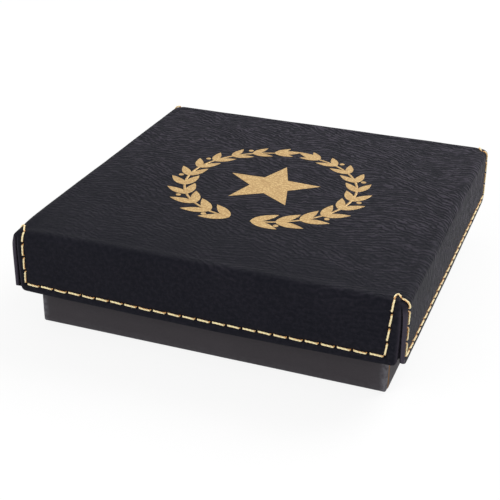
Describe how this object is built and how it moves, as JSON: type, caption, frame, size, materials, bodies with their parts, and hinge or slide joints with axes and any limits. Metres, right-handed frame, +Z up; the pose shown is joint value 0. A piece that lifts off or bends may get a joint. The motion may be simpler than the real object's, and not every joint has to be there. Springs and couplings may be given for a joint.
{
  "type": "medal box",
  "caption": "Square medal box: stitched leatherette lift-off lid, paper-wrapped base and a velvet insert with a round recess and finger notches.",
  "frame": {"origin": "middle of the base's underside, where it stands on a table", "axes": "+Z up, -Y the front as the box is shown, +X to the right"},
  "size_m": [0.1098, 0.1098, 0.0307],
  "materials": {
    "leatherette": "soft matt leatherette with a fine pebble and wrinkle grain",
    "gold_thread": "lustrous twisted sewing thread",
    "gold_foil": "printed gold film with a bright grain",
    "bobbin_thread": "plain sewing thread",
    "fibre_board": "wood fibre board dyed dark",
    "grey_board": "bare grey board",
    "kraft_tape": "gummed paper tape",
    "base_paper": "matt dyed paper with a fine tooth",
    "lining_paper": "matt black lining paper",
    "insert_foam": "closed-cell foam",
    "velvet": "short-pile velvet"
  },
  "bodies": {
    "base": {"base_board": "grey_board", "corner_stay_front_right": "kraft_tape", "corner_stay_back_right": "kraft_tape", "corner_stay_back_left": "kraft_tape", "corner_stay_front_left": "kraft_tape", "base_wrap": "base_paper", "base_bottom_sheet": "base_paper", "insert_pad": "insert_foam", "insert_foam": "insert_foam", "insert_velvet": "velvet"},
    "lid": {"lid_skin": "leatherette", "needle_thread": "gold_thread", "bobbin_thread": "bobbin_thread", "lid_top_board": "fibre_board", "lid_front_board": "fibre_board", "lid_right_board": "fibre_board", "lid_back_board": "fibre_board", "lid_left_board": "fibre_board", "lid_wall_lining": "lining_paper", "lid_top_lining": "lining_paper"}
  },
  "joints": [
    {"name": "lid_lift", "type": "slide", "parent": "base", "child": "lid", "axis": [0, 0, 1], "range_m": [0, 0.06]}
  ]
}
